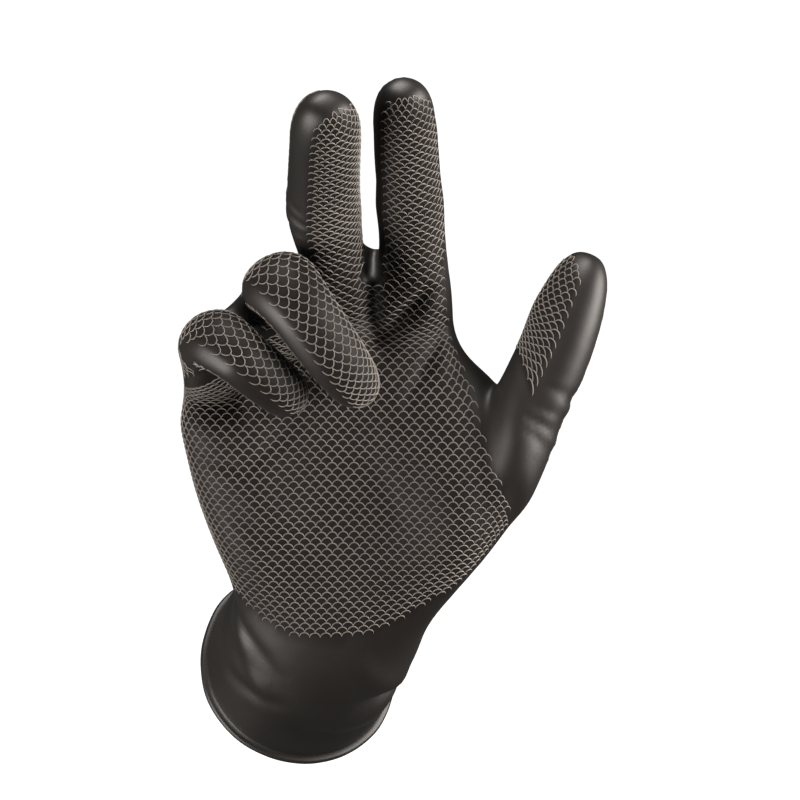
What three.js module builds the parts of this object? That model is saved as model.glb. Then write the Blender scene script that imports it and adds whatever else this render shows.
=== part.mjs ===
import * as THREE from 'three';

// Disposable examination glove of dipped nitrile film, as a right hand wears it.
// The first two fingers stand up, the last two are folded onto the palm, and the
// thumb stands out. The cuff runs back and down from the bent wrist.
// Units are millimetres. Z runs from the wrist to the fingers, -Y is the palm side
// and X points to the thumb. The origin is the centre of the cuff opening.

// The film
const FILM = 1.0;
const BEAD_RADIUS = 1.5;

// The hand inside it
const PALM_LENGTH = 90;
const HAND_WIDTH = 88;
const PALM_DEPTH = 31;
const FINGER_LENGTH = 100;
const FINGER_WIDTH = 20.8;
const FINGER_DEPTH = 18.4;
const WEB_DISTANCE = 20;
const WEB_GAP = 1.8;
const THUMB_LENGTH = 59.5;
const THUMB_WIDTH = 24;
const THUMB_DEPTH = 18.8;
const WRIST_WIDTH = 60;
const WRIST_DEPTH = 39;

// The cuff
const CUFF_LENGTH = 57;
const CUFF_WIDTH = 61;

// The pose, in degrees
const WRIST_BEND = 53;
const CUFF_SWAY = 15;
const THUMB_TWIST = 58;
const THUMB_LEAN = 19;
const THUMB_BEND = 4;

// Radii of the bends
const WRIST_RADIUS = 31;
const KNUCKLE_RADIUS = 15;
const JOINT_RADIUS = 10.5;

// Fingers from the little one to the index. x is a share of the hand's breadth, y of its
// depth, z of the palm's length, bones of the finger length, wide and deep of the middle
// finger. Swell is how much wider the finger is at its middle joint. Flex is the bend at the
// three joints. Sway and veer turn the finger sideways at its knuckle and its middle joint,
// spread turns the whole of it and roll twists it.
const FINGERS = [
  { x: -0.386, y: -0.153, z: 0.786, bones: [0.331, 0.17, 0.204], wide: 0.8, deep: 0.848,
    swell: 0.06, flex: [57.8, 115, 43.3], sway: -4.2, veer: -11.6, spread: 0, roll: 58.8 },
  { x: -0.191, y: 0.02, z: 0.905, bones: [0.421, 0.234, 0.238], wide: 0.85, deep: 0.93,
    swell: 0.16, flex: [55.9, 115, 35.3], sway: 0, veer: -21.6, spread: 0, roll: 51.3 },
  { x: 0.004, y: 0, z: 1, bones: [0.47, 0.29, 0.24], wide: 1, deep: 1,
    swell: 0, flex: [45.1, 6.5, 4.5], sway: 0, veer: 5, spread: -3.8, roll: 0 },
  { x: 0.282, y: -0.032, z: 0.967, bones: [0.43, 0.25, 0.24], wide: 0.923, deep: 0.957,
    swell: 0, flex: [33.5, 8, 6], sway: 0, veer: 0, spread: -3.5, roll: 0 },
];

// Sections along a finger. From says which joint a section is measured from, by how many
// finger widths, and wide and deep are shares of the finger's own section.
const FINGER_SECTIONS = [
  { from: 1, by: -0.83, wide: 0.97, deep: 0.97 },
  { from: 1, by: 0, wide: 1.04, deep: 1.03 },
  { from: 1, by: 0.83, wide: 0.95, deep: 0.95 },
  { from: 2, by: -0.5, wide: 0.93, deep: 0.93 },
  { from: 2, by: 0.5, wide: 0.92, deep: 0.9 },
  { from: 3, by: -0.95, wide: 0.87, deep: 0.86 },
  { from: 3, by: -0.28, wide: 0.74, deep: 0.7 },
  { from: 3, by: 0.08, wide: 0.4, deep: 0.38 },
];
const TIP_REACH = 0.16;

// Thumb joints as shares of the breadth, depth and length of the palm
const THUMB_ROOT = { x: 0.318, y: -0.29, z: 0.156 };
const THUMB_KNUCKLE = { x: 0.602, y: -0.484, z: 0.556 };
const THUMB_FIRST_BONE = 0.521;

// Sections of the thumb. At is a share of its length from its knuckle, wide and deep are
// shares of its own section, and tilt leans the section towards the palm, in degrees.
const THUMB_SECTIONS = [
  { at: 0, wide: 1.15, deep: 1.28, tilt: 52 },
  { at: 0.176, wide: 0.9, deep: 1.16, tilt: 55 },
  { at: 0.336, wide: 0.95, deep: 1.09, tilt: 45 },
  { at: 0.504, wide: 1.03, deep: 1.05, tilt: 27 },
  { at: 0.672, wide: 1.03, deep: 0.99, tilt: 8 },
];
const THUMB_TIP_SECTIONS = [
  { by: -0.95, wide: 0.92, deep: 0.88 },
  { by: -0.28, wide: 0.74, deep: 0.68 },
  { by: 0.08, wide: 0.4, deep: 0.36 },
];

// Sections of the cuff from its opening to the wrist. At is a share of the cuff's length,
// the others say how far each half size has grown from the wrist to the opening.
const CUFF_SECTIONS = [
  { at: 1, wider: 1, front: 1, back: 1 },
  { at: 0.77, wider: 0.75, front: 0.94, back: 0.94 },
  { at: 0.49, wider: 0.75, front: 0.78, back: 0.75 },
  { at: 0.228, wider: 0.5, front: 0.44, back: 0.31 },
  { at: 0, wider: 0, front: 0, back: 0 },
];
const WRIST_FRONT = 0.59;

// Sections of the palm. At is a share of the way to the knuckles, left and right are shares
// of the breadth, front and back of the depth. Lift raises the web beside the thumb, as a
// share of the palm's length.
const PALM_SECTIONS = [
  { at: 0.18, left: -0.364, right: 0.54, front: 0.645, back: 0.516, lift: 0 },
  { at: 0.36, left: -0.42, right: 0.548, front: 0.645, back: 0.484, lift: 0 },
  { at: 0.54, left: -0.46, right: 0.535, front: 0.63, back: 0.468, lift: 0 },
  { at: 0.73, left: -0.489, right: 0.523, front: 0.597, back: 0.42, lift: 0.1 },
  { at: 0.82, left: -0.5, right: 0.445, front: 0.565, back: 0.42, lift: 0.06 },
];
const KNUCKLE_SECTIONS = [
  { at: -0.325, deep: 1.5 },
  { at: 0.1, deep: 1.32 },
  { at: 0.55, deep: 1.15 },
];

// Mounds and hollows of the palm, as shares of its breadth, length and depth
const MOUNDS = [
  { x: 0.466, z: 0.356, spanX: 0.17, spanZ: 0.267, rise: 0.355 },
  { x: -0.273, z: 0.289, spanX: 0.148, spanZ: 0.289, rise: 0.129 },
  { x: 0, z: 0.533, spanX: 0.182, spanZ: 0.222, rise: -0.08 },
];
const PALM_ARCH = 0.133;

// Folds and creases of the film. At is a share of the length of the cuff, the thumb or the
// finger, round is the middle of the fold in degrees from the palm side towards the thumb
// side, reach is half its length in degrees, slant is its lean, and width and depth are
// shares of the width of what it lies on. A depth above zero stands out.
const FOLDS = [
  { on: 'cuff', at: 0.4, round: 78, reach: 46, slant: 0, width: 0.1, depth: -0.055 },
  { on: 'cuff', at: 0.2, round: 180, reach: 60, slant: 0, width: 0.05, depth: 0.03 },
  { on: 'cuff', at: 0.42, round: 170, reach: 55, slant: 0.05, width: 0.06, depth: -0.02 },
  { on: 'cuff', at: 0.34, round: -78, reach: 34, slant: -0.2, width: 0.09, depth: -0.018 },
  { on: 'thumb', at: 0.2, round: -150, reach: 50, slant: 0, width: 0.12, depth: -0.03 },
  { on: 'thumb', at: 0.34, round: -150, reach: 50, slant: 0, width: 0.12, depth: -0.03 },
];

const COLUMNS = 12;
const COLUMN_SPREAD = 66;
const STEP = 0.5;

// The sections are drawn as control polygons. These shares are how much smaller the smooth
// skin is than its control polygon with 8, 10 and 26 corners.
const OCTAGON_LOSS = 0.902;
const DECAGON_LOSS = 0.937;
const PALM_LOSS = 0.99;

const radians = THREE.MathUtils.degToRad;
const vector = (x, y, z) => new THREE.Vector3(x, y, z);
const lerp = THREE.MathUtils.lerp;
const unit = (v) => v.clone().normalize();

function along(point, ...moves) {
  const result = point.clone();
  for (const [direction, distance] of moves) {
    result.addScaledVector(direction, distance);
  }
  return result;
}

function turn(toward, away, angle) {
  const first = toward.clone().multiplyScalar(Math.cos(angle)).addScaledVector(away, Math.sin(angle));
  const second = away.clone().multiplyScalar(Math.cos(angle)).addScaledVector(toward, -Math.sin(angle));
  return [first, second];
}

// The middle line of a finger, the thumb or the cuff, with a frame that bends, sways and
// twists along it. Each turn is spread over the arc that its radius gives.
class MiddleLine {
  constructor({ start, side, palm, ahead, from, to, bends = [], sways = [], twists = [] }) {
    this.from = from;
    this.samples = [{ point: start.clone(), side, palm, ahead }];
    const count = Math.ceil((to - from) / STEP);
    const spread = (turns, s) => {
      let sum = 0;
      for (const { at, angle, length } of turns) {
        const low = Math.max(s - STEP / 2, at - length / 2);
        const high = Math.min(s + STEP / 2, at + length / 2);
        if (high > low) sum += angle * (high - low) / length;
      }
      return radians(sum);
    };
    for (let i = 0; i < count; i++) {
      const s = from + (i + 0.5) * STEP;
      const last = this.samples[i];
      let ahead = last.ahead;
      let palm = last.palm;
      let side = last.side;
      [ahead, palm] = turn(ahead, palm, spread(bends, s));
      [ahead, side] = turn(ahead, side, spread(sways, s));
      [palm, side] = turn(palm, side, spread(twists, s));
      const middle = last.ahead.clone().add(ahead).multiplyScalar(STEP / 2);
      this.samples.push({ point: last.point.clone().add(middle), side, palm, ahead });
    }
  }

  at(s) {
    const f = (s - this.from) / STEP;
    const i = THREE.MathUtils.clamp(Math.floor(f), 0, this.samples.length - 2);
    const a = this.samples[i];
    const b = this.samples[i + 1];
    const mix = (key) => a[key].clone().lerp(b[key], f - i);
    return { point: mix('point'), side: unit(mix('side')), palm: unit(mix('palm')), ahead: unit(mix('ahead')) };
  }

  nearest(point) {
    let best = 0;
    let least = Infinity;
    this.samples.forEach((sample, i) => {
      const distance = sample.point.distanceToSquared(point);
      if (distance < least) {
        least = distance;
        best = i;
      }
    });
    return { s: this.from + best * STEP, sample: this.samples[best] };
  }
}

const arc = (at, angle, radius) => ({ at, angle, length: Math.max(Math.abs(radians(angle)) * radius, 2 * STEP) });
const stretch = (from, to, angle) => ({ at: (from + to) / 2, angle, length: to - from });

// Sizes of each finger in millimetres, from its row of shares
const fingers = FINGERS.map((row) => {
  const bones = row.bones.map((share) => share * FINGER_LENGTH);
  return {
    ...row,
    x: row.x * HAND_WIDTH,
    y: row.y * PALM_DEPTH,
    z: row.z * PALM_LENGTH,
    joints: [0, bones[0], bones[0] + bones[1], bones[0] + bones[1] + bones[2]],
    half: row.wide * FINGER_WIDTH / 2,
    rise: row.deep * FINGER_DEPTH / 2,
  };
});

// Half widths of each finger's root, up to the middle of the gap to its neighbour
const rootEdge = 0.912 * FINGER_WIDTH / 2;
fingers.forEach((finger, k) => {
  const before = fingers[k - 1];
  const after = fingers[k + 1];
  finger.rootLeft = before ? (finger.x - before.x - WEB_GAP) / 2 : rootEdge;
  finger.rootRight = after ? (after.x - finger.x - WEB_GAP) / 2 : rootEdge;
});

function fingerLine(finger) {
  const angle = radians(finger.spread);
  const ahead = vector(Math.sin(angle), 0, Math.cos(angle));
  const side = vector(Math.cos(angle), 0, -Math.sin(angle));
  const [, first, second, end] = finger.joints;
  const twists = finger.roll ? [stretch(0.14 * first, 0.9 * first, finger.roll)] : [];
  return new MiddleLine({
    start: along(vector(finger.x, finger.y, finger.z), [ahead, -WEB_DISTANCE]),
    side,
    palm: vector(0, -1, 0),
    ahead,
    from: -WEB_DISTANCE,
    to: end + FINGER_WIDTH / 4,
    bends: [
      arc(0, finger.flex[0], KNUCKLE_RADIUS),
      arc(first, finger.flex[1], JOINT_RADIUS),
      arc(second, finger.flex[2], JOINT_RADIUS),
    ],
    sways: [
      arc(0.05 * first, finger.sway, 2 * KNUCKLE_RADIUS),
      arc(first, finger.veer, 2 * KNUCKLE_RADIUS),
    ],
    twists,
  });
}

function thumbLine() {
  const place = (share) => vector(share.x * HAND_WIDTH, share.y * PALM_DEPTH, share.z * PALM_LENGTH);
  const root = place(THUMB_ROOT);
  const ahead = place(THUMB_KNUCKLE).sub(root);
  const bone = ahead.length();
  ahead.normalize();
  const palm = unit(along(vector(0, -1, 0), [ahead, ahead.y]));
  const side = palm.clone().cross(ahead);
  return new MiddleLine({
    start: root,
    side,
    palm,
    ahead,
    from: -bone,
    to: THUMB_LENGTH + THUMB_WIDTH / 4,
    bends: [arc(THUMB_FIRST_BONE * THUMB_LENGTH, THUMB_BEND, 1.5 * JOINT_RADIUS)],
    sways: [arc(0, THUMB_LEAN, 2 * KNUCKLE_RADIUS)],
    twists: [stretch(-0.75 * bone, 0.067 * THUMB_LENGTH, THUMB_TWIST)],
  });
}

const cuffLine = new MiddleLine({
  start: vector(0, 0, 0.2 * PALM_LENGTH),
  side: vector(1, 0, 0),
  palm: vector(0, -1, 0),
  ahead: vector(0, 0, -1),
  from: -0.2 * PALM_LENGTH,
  to: CUFF_LENGTH + BEAD_RADIUS,
  bends: [arc(0, -WRIST_BEND, WRIST_RADIUS)],
  sways: [arc(0.07 * CUFF_LENGTH, -CUFF_SWAY, 2 * WRIST_RADIUS)],
});
const fingerLines = fingers.map(fingerLine);
const thumb = thumbLine();

// The control cage. Every face is a quadrilateral and remembers which part it lies on.
const points = [];
const faces = [];
const addPoint = (point) => points.push(point) - 1;
const addFace = (part, ...corners) => faces.push({ part, corners });

// Angles of the columns of a ring, from the little finger's side to the thumb's side
const columnAngles = Array.from({ length: COLUMNS }, (_, i) =>
  radians(lerp(-COLUMN_SPREAD, COLUMN_SPREAD, i / (COLUMNS - 1))));

function cuffRing({ at, wider, front, back }) {
  const edge = CUFF_LENGTH - 1.9 * BEAD_RADIUS;
  const { point, side, palm } = cuffLine.at(at * edge);
  const half = lerp(WRIST_WIDTH, CUFF_WIDTH, wider) / 2 / PALM_LOSS;
  const rise = lerp(WRIST_FRONT * WRIST_DEPTH, CUFF_WIDTH / 2, front) / PALM_LOSS;
  const drop = lerp((1 - WRIST_FRONT) * WRIST_DEPTH, CUFF_WIDTH / 2, back) / PALM_LOSS;
  const column = (depth) => (t) =>
    along(point, [side, half * Math.sin(t)], [palm, depth * Math.cos(t)]);
  return {
    front: columnAngles.map(column(rise)),
    right: along(point, [side, half]),
    back: columnAngles.map(column(-drop)),
    left: along(point, [side, -half]),
  };
}

// Where the columns lie at the knuckles: the two edges and the middle of each finger
const knuckleColumns = fingers.flatMap((finger) =>
  [-finger.rootLeft, 0, finger.rootRight].map((shift) => ({ x: finger.x + shift, z: finger.z })));

function palmRing({ at, left, right, front, back, lift }) {
  const half = (right - left) / 2 * HAND_WIDTH;
  const middle = (right + left) / 2 * HAND_WIDTH;
  const raw = columnAngles.map((t, i) =>
    lerp(Math.sin(t) * WRIST_WIDTH / 2, knuckleColumns[i].x, at));
  const rawMiddle = (raw[0] + raw[COLUMNS - 1]) / 2;
  const rawHalf = (raw[COLUMNS - 1] - raw[0]) / 2;
  const ring = { front: [], back: [] };
  for (let i = 0; i < COLUMNS; i++) {
    const x = middle + (raw[i] - rawMiddle) / rawHalf * 0.93 * half;
    const z = at * knuckleColumns[i].z;
    const across = Math.min(Math.abs(x - middle) / (1.08 * half), 1);
    const profile = 1.02 * Math.pow(1 - Math.pow(across, 2.6), 1 / 2.6);
    const arch = -at * PALM_ARCH * PALM_DEPTH * Math.pow((x - 0.114 * HAND_WIDTH) / (HAND_WIDTH / 3), 2);
    let mound = 0;
    for (const m of MOUNDS) {
      const u = (x - m.x * HAND_WIDTH) / (m.spanX * HAND_WIDTH);
      const v = (z - m.z * PALM_LENGTH) / (m.spanZ * PALM_LENGTH);
      mound += m.rise * PALM_DEPTH * Math.exp(-u * u - v * v);
    }
    ring.front.push(vector(x, arch - front * PALM_DEPTH * profile - mound, z));
    ring.back.push(vector(x, arch + back * PALM_DEPTH * profile, z));
    if (i === 0) ring.left = vector(middle - 1.06 * half, arch - 0.065 * PALM_DEPTH, z);
    if (i === COLUMNS - 1) {
      ring.right = vector(middle + 1.06 * half, arch - 0.065 * PALM_DEPTH, z + lift * PALM_LENGTH);
    }
  }
  return ring;
}

function knuckleRing({ at, deep }) {
  const ring = { front: [], back: [] };
  fingers.forEach((finger, k) => {
    const { point, side, palm } = fingerLines[k].at(at * WEB_DISTANCE);
    for (const [shift, share] of [[-finger.rootLeft, 0.86], [0, 1], [finger.rootRight, 0.86]]) {
      const rise = 0.95 * deep * share * finger.rise / OCTAGON_LOSS;
      ring.front.push(along(point, [side, shift], [palm, rise]));
      ring.back.push(along(point, [side, shift], [palm, -rise]));
    }
    const edge = 1.147 * finger.half;
    if (k === 0) ring.left = along(point, [side, -edge]);
    if (k === fingers.length - 1) ring.right = along(point, [side, edge]);
  });
  return ring;
}

// At the webs a finger is no wider than its root, so that neighbours don't meet
function webRing() {
  const ring = { front: [], back: [], sides: [] };
  fingers.forEach((finger, k) => {
    const { point, side, palm } = fingerLines[k].at(WEB_DISTANCE);
    const half = finger.half / OCTAGON_LOSS;
    const left = k === 0 ? half : Math.min(half, finger.rootLeft);
    const right = k === fingers.length - 1 ? half : Math.min(half, finger.rootRight);
    for (const [shift, share] of [[-0.76 * left, 0.74], [0, 1], [0.76 * right, 0.74]]) {
      const rise = 1.05 * share * finger.rise / OCTAGON_LOSS;
      ring.front.push(along(point, [side, shift], [palm, rise]));
      ring.back.push(along(point, [side, shift], [palm, -rise]));
    }
    ring.sides.push([along(point, [side, -left]), along(point, [side, right])]);
  });
  ring.left = ring.sides[0][0];
  ring.right = ring.sides[fingers.length - 1][1];
  return ring;
}

const rings = [
  ...CUFF_SECTIONS.map(cuffRing),
  ...PALM_SECTIONS.map(palmRing),
  ...KNUCKLE_SECTIONS.map(knuckleRing),
  webRing(),
].map((ring) => ({
  front: ring.front.map(addPoint),
  right: addPoint(ring.right),
  back: ring.back.map(addPoint),
  left: addPoint(ring.left),
  sides: ring.sides,
}));

// The thumb leaves the palm through a gap in the ring faces at the thumb's side
const thumbFirst = CUFF_SECTIONS.length;
const thumbLast = thumbFirst + 3;
const loopOf = (ring) => [...ring.front, ring.right, ...[...ring.back].reverse(), ring.left];
for (let i = 0; i + 1 < rings.length; i++) {
  const low = loopOf(rings[i]);
  const high = loopOf(rings[i + 1]);
  for (let j = 0; j < low.length; j++) {
    const next = (j + 1) % low.length;
    const open = i >= thumbFirst && i < thumbLast && (j === COLUMNS - 1 || j === COLUMNS);
    if (!open) addFace(i < thumbFirst ? 'cuff' : 'palm', low[j], low[next], high[next], high[j]);
  }
}

// Webs between the fingers
const web = rings[rings.length - 1];
const sideIds = web.sides.map(([left, right], k) => [
  k === 0 ? web.left : addPoint(left),
  k === fingers.length - 1 ? web.right : addPoint(right),
]);
for (let k = 0; k + 1 < fingers.length; k++) {
  const right = sideIds[k][1];
  const left = sideIds[k + 1][0];
  const i = 3 * k + 2;
  addFace('palm', web.front[i], web.front[i + 1], left, right);
  addFace('palm', right, left, web.back[i + 1], web.back[i]);
}

// Closes a tube with four faces around one point at its tip
function closeTip(part, ring, tip, step) {
  for (let a = 0; a < ring.length; a += 2) {
    const corner = (n) => ring[(a + n) % ring.length];
    if (step > 0) addFace(part, corner(1), corner(2), tip, corner(0));
    else addFace(part, corner(2), corner(1), corner(0), tip);
  }
}

fingers.forEach((finger, k) => {
  const part = 'finger' + k;
  const line = fingerLines[k];
  const end = finger.joints[3];
  let ring = [web.front[3 * k], web.front[3 * k + 1], web.front[3 * k + 2], sideIds[k][1],
    web.back[3 * k + 2], web.back[3 * k + 1], web.back[3 * k], sideIds[k][0]];
  for (const section of FINGER_SECTIONS) {
    const own = section.from === 3 ? finger.half : FINGER_WIDTH / 2;
    const s = finger.joints[section.from] + section.by * own;
    const { point, side, palm } = line.at(s);
    const swelling = 1 + finger.swell * Math.min(1, (end - s) / (end - finger.joints[1]));
    const next = ring.map((_, a) => {
      const t = radians(135 - 45 * a);
      const across = finger.half * swelling * section.wide * Math.cos(t) / OCTAGON_LOSS;
      const rise = finger.rise * section.deep * Math.sin(t) / OCTAGON_LOSS;
      return addPoint(along(point, [side, across], [palm, rise]));
    });
    ring.forEach((_, a) => {
      const b = (a + 1) % ring.length;
      addFace(part, ring[a], ring[b], next[b], next[a]);
    });
    ring = next;
  }
  closeTip(part, ring, addPoint(line.at(end + TIP_REACH * finger.half).point), 1);
});

// The thumb, from the gap in the palm to its tip
const thumbHalf = THUMB_WIDTH / 2;
const thumbRise = THUMB_DEPTH / 2;
const gapRings = rings.slice(thumbFirst, thumbLast + 1);
let thumbRing = [
  gapRings[0].right,
  ...gapRings.map((ring) => ring.front[COLUMNS - 1]),
  gapRings[3].right,
  ...gapRings.map((ring) => ring.back[COLUMNS - 1]).reverse(),
];
const thumbSections = [
  ...THUMB_SECTIONS.map((row) => ({ ...row, s: row.at * THUMB_LENGTH })),
  ...THUMB_TIP_SECTIONS.map((row) => ({ ...row, s: THUMB_LENGTH + row.by * thumbHalf, tilt: 0 })),
];
for (const { s, wide, deep, tilt } of thumbSections) {
  const { point, side, palm, ahead } = thumb.at(s);
  const inner = unit(vector(0, -1, 0).cross(ahead));
  const next = thumbRing.map((_, a) => {
    const t = radians(180 - 36 * a);
    const corner = vector(0, 0, 0)
      .addScaledVector(side, thumbHalf * wide * Math.cos(t) / DECAGON_LOSS)
      .addScaledVector(palm, thumbRise * deep * Math.sin(t) / DECAGON_LOSS);
    const lean = corner.dot(inner) * Math.tan(radians(tilt));
    return addPoint(along(point, [corner, 1], [ahead, lean]));
  });
  thumbRing.forEach((_, a) => {
    const b = (a + 1) % thumbRing.length;
    addFace('thumb', thumbRing[b], thumbRing[a], next[a], next[b]);
  });
  thumbRing = next;
}
closeTip('thumb', thumbRing, addPoint(thumb.at(THUMB_LENGTH + TIP_REACH * thumbHalf).point), -1);

// Leaves out the points that no face uses
function compact(allPoints, allFaces) {
  const used = [...new Set(allFaces.flatMap((face) => face.corners))].sort((a, b) => a - b);
  const place = new Map(used.map((old, i) => [old, i]));
  return {
    points: used.map((i) => allPoints[i]),
    faces: allFaces.map(({ part, corners }) => ({ part, corners: corners.map((i) => place.get(i)) })),
  };
}

// Edges of a mesh, each with its two ends and the faces on it
function edgesOf(mesh) {
  const edges = new Map();
  mesh.faces.forEach(({ corners }, f) => {
    corners.forEach((a, k) => {
      const b = corners[(k + 1) % 4];
      const key = Math.min(a, b) * mesh.points.length + Math.max(a, b);
      if (!edges.has(key)) edges.set(key, { ends: [a, b], faces: [] });
      edges.get(key).faces.push(f);
    });
  });
  return edges;
}

const average = (list) => list.reduce((sum, v) => sum.add(v), vector(0, 0, 0)).divideScalar(list.length);

// One round of Catmull-Clark subdivision, with an open edge kept as a smooth curve
function subdivide(mesh) {
  const edges = edgesOf(mesh);
  const centres = mesh.faces.map(({ corners }) => average(corners.map((i) => mesh.points[i])));
  const around = mesh.points.map(() => ({ faces: [], middles: [], rim: [] }));
  mesh.faces.forEach(({ corners }, f) => corners.forEach((i) => around[i].faces.push(centres[f])));
  const edgePoints = [];
  const edgeIndex = new Map();
  for (const [key, { ends, faces: sides }] of edges) {
    const [a, b] = ends.map((i) => mesh.points[i]);
    const middle = average([a, b]);
    edgeIndex.set(key, edgePoints.length);
    edgePoints.push(sides.length < 2 ? middle : average([a, b, centres[sides[0]], centres[sides[1]]]));
    ends.forEach((end, k) => {
      around[end].middles.push(middle);
      if (sides.length < 2) around[end].rim.push(k ? a : b);
    });
  }
  const moved = mesh.points.map((point, i) => {
    const { faces: near, middles, rim } = around[i];
    if (rim.length) return average([...Array(6).fill(point), ...rim]);
    const n = near.length;
    return average(near).add(average(middles).multiplyScalar(2)).addScaledVector(point, n - 3).divideScalar(n);
  });
  const base = mesh.points.length;
  const edgeId = (a, b) => base + edgeIndex.get(Math.min(a, b) * base + Math.max(a, b));
  const finer = [];
  mesh.faces.forEach(({ part, corners }, f) => {
    corners.forEach((a, k) => {
      const next = corners[(k + 1) % 4];
      const last = corners[(k + 3) % 4];
      finer.push({ part, corners: [a, edgeId(a, next), base + edgePoints.length + f, edgeId(last, a)] });
    });
  });
  return { points: [...moved, ...edgePoints, ...centres], faces: finer };
}

// Moves every point onto the smooth surface that further rounds would end at
function settle(mesh) {
  const near = mesh.points.map(() => ({ edges: [], faces: [], rim: [] }));
  for (const { ends, faces: sides } of edgesOf(mesh).values()) {
    ends.forEach((end, k) => {
      const other = mesh.points[ends[1 - k]];
      near[end].edges.push(other);
      if (sides.length < 2) near[end].rim.push(other);
    });
  }
  mesh.faces.forEach(({ corners }) => {
    corners.forEach((i, k) => near[i].faces.push(mesh.points[corners[(k + 2) % 4]]));
  });
  const sum = (list, factor) => list.reduce((total, v) => total.addScaledVector(v, factor), vector(0, 0, 0));
  const settled = mesh.points.map((point, i) => {
    const { edges, faces: across, rim } = near[i];
    if (rim.length) return sum(rim, 1).addScaledVector(point, 4).divideScalar(6);
    const n = edges.length;
    const total = sum(edges, 4).add(sum(across, 1)).addScaledVector(point, n * n);
    return total.divideScalar(n * (n + 5));
  });
  return { points: settled, faces: mesh.faces };
}

function normalsOf(mesh) {
  const normals = mesh.points.map(() => vector(0, 0, 0));
  for (const { corners } of mesh.faces) {
    const [a, b, c, d] = corners.map((i) => mesh.points[i]);
    const normal = c.clone().sub(a).cross(d.clone().sub(b));
    corners.forEach((i) => normals[i].add(normal));
  }
  return normals.map(unit);
}

const FOLD_LINES = {
  cuff: { line: cuffLine, length: CUFF_LENGTH, width: CUFF_WIDTH },
  thumb: { line: thumb, length: THUMB_LENGTH, width: THUMB_WIDTH },
};

// Presses the folds into the skin, or raises them where their depth is above zero
function foldFilm(mesh) {
  const normals = normalsOf(mesh);
  const partOf = [];
  for (const { part, corners } of mesh.faces) corners.forEach((i) => { partOf[i] = part; });
  const folded = mesh.points.map((point, i) => {
    let shift = 0;
    for (const fold of FOLDS) {
      if (fold.on !== partOf[i]) continue;
      const { line, length, width } = FOLD_LINES[fold.on];
      const { s, sample } = line.nearest(point);
      const offset = point.clone().sub(sample.point);
      const round = THREE.MathUtils.radToDeg(Math.atan2(offset.dot(sample.side), offset.dot(sample.palm)));
      const turned = ((round - fold.round + 540) % 360) - 180;
      const lean = fold.slant * radians(turned) * width / 2;
      const u = (s - fold.at * length - lean) / (fold.width * width);
      const v = turned / fold.reach;
      shift += fold.depth * width * Math.exp(-u * u - v * v * v * v);
    }
    return along(point, [normals[i], shift]);
  });
  return { points: folded, faces: mesh.faces };
}

// How far to go in at each point so that the film keeps its thickness across sharp bends
function depthsOf(mesh, normals) {
  const lean = mesh.points.map(() => []);
  for (const { corners } of mesh.faces) {
    const [a, b, c, d] = corners.map((i) => mesh.points[i]);
    const normal = unit(c.clone().sub(a).cross(d.clone().sub(b)));
    corners.forEach((i) => lean[i].push(normal.dot(normals[i])));
  }
  return lean.map((list) => FILM / Math.max(0.6, Math.min(...list)));
}

// Turns the skin into film with an inner face, and joins both at the opening with the
// rolled bead that keeps the edge from tearing
function closedFilm(mesh, rim) {
  const normals = normalsOf(mesh);
  const count = mesh.points.length;
  const inward = depthsOf(mesh, normals);
  const all = [...mesh.points, ...mesh.points.map((point, i) => along(point, [normals[i], -inward[i]]))];
  const quads = [];
  for (const { corners: [a, b, c, d] } of mesh.faces) {
    quads.push([a, b, c, d], [d + count, c + count, b + count, a + count]);
  }
  const bead = [-60, -5, 50, 105, 150].map((degrees) => {
    const first = all.length;
    for (let i = 0; i < count; i++) {
      const out = normals[i];
      const middle = along(mesh.points[i], [out, BEAD_RADIUS - FILM], [rim.ahead, 0.9 * BEAD_RADIUS]);
      const angle = radians(degrees);
      const reach = BEAD_RADIUS * Math.cos(angle);
      all.push(along(middle, [out, reach], [rim.ahead, BEAD_RADIUS * Math.sin(angle)]));
    }
    return first;
  });
  const rows = [0, ...bead, count];
  for (const { ends, faces: sides } of edgesOf(mesh).values()) {
    if (sides.length > 1) continue;
    const [a, b] = ends;
    for (let r = 0; r + 1 < rows.length; r++) {
      quads.push([b + rows[r], a + rows[r], a + rows[r + 1], b + rows[r + 1]]);
    }
  }
  return { all, quads };
}

const skin = foldFilm(settle(subdivide(compact(points, faces))));
const rim = cuffLine.at(CUFF_LENGTH);
const { all, quads } = closedFilm(skin, rim);

// Triangles, split along the shorter diagonal, with the opening's centre at the origin
const positions = [];
const order = new Map();
const index = [];
const use = (i) => {
  if (!order.has(i)) {
    order.set(i, order.size);
    const { x, y, z } = all[i].clone().sub(rim.point);
    positions.push(x, y, z);
  }
  return order.get(i);
};
for (const quad of quads) {
  const [a, b, c, d] = quad.map((i) => all[i]);
  const [p, q, r, s] = quad.map(use);
  if (a.distanceTo(c) <= b.distanceTo(d)) index.push(p, q, r, p, r, s);
  else index.push(q, r, s, q, s, p);
}

const geometry = new THREE.BufferGeometry();
geometry.setAttribute('position', new THREE.Float32BufferAttribute(positions, 3));
geometry.setIndex(index);
geometry.computeVertexNormals();

const nitrile = new THREE.MeshStandardMaterial({ color: 0x24211e, roughness: 0.42, metalness: 0 });
const glove = new THREE.Mesh(geometry, nitrile);
glove.name = 'glove';

const group = new THREE.Group();
group.add(glove);

export default group;
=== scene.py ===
# Disposable nitrile examination glove in its worn form: the dipped film with its rolled
# bead, its folds and creases, and the fish-scale grip on both faces.
import math

import bpy
import numpy as np
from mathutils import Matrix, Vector, noise
from mathutils.bvhtree import BVHTree
from mathutils.interpolate import poly_3d_calc


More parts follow.
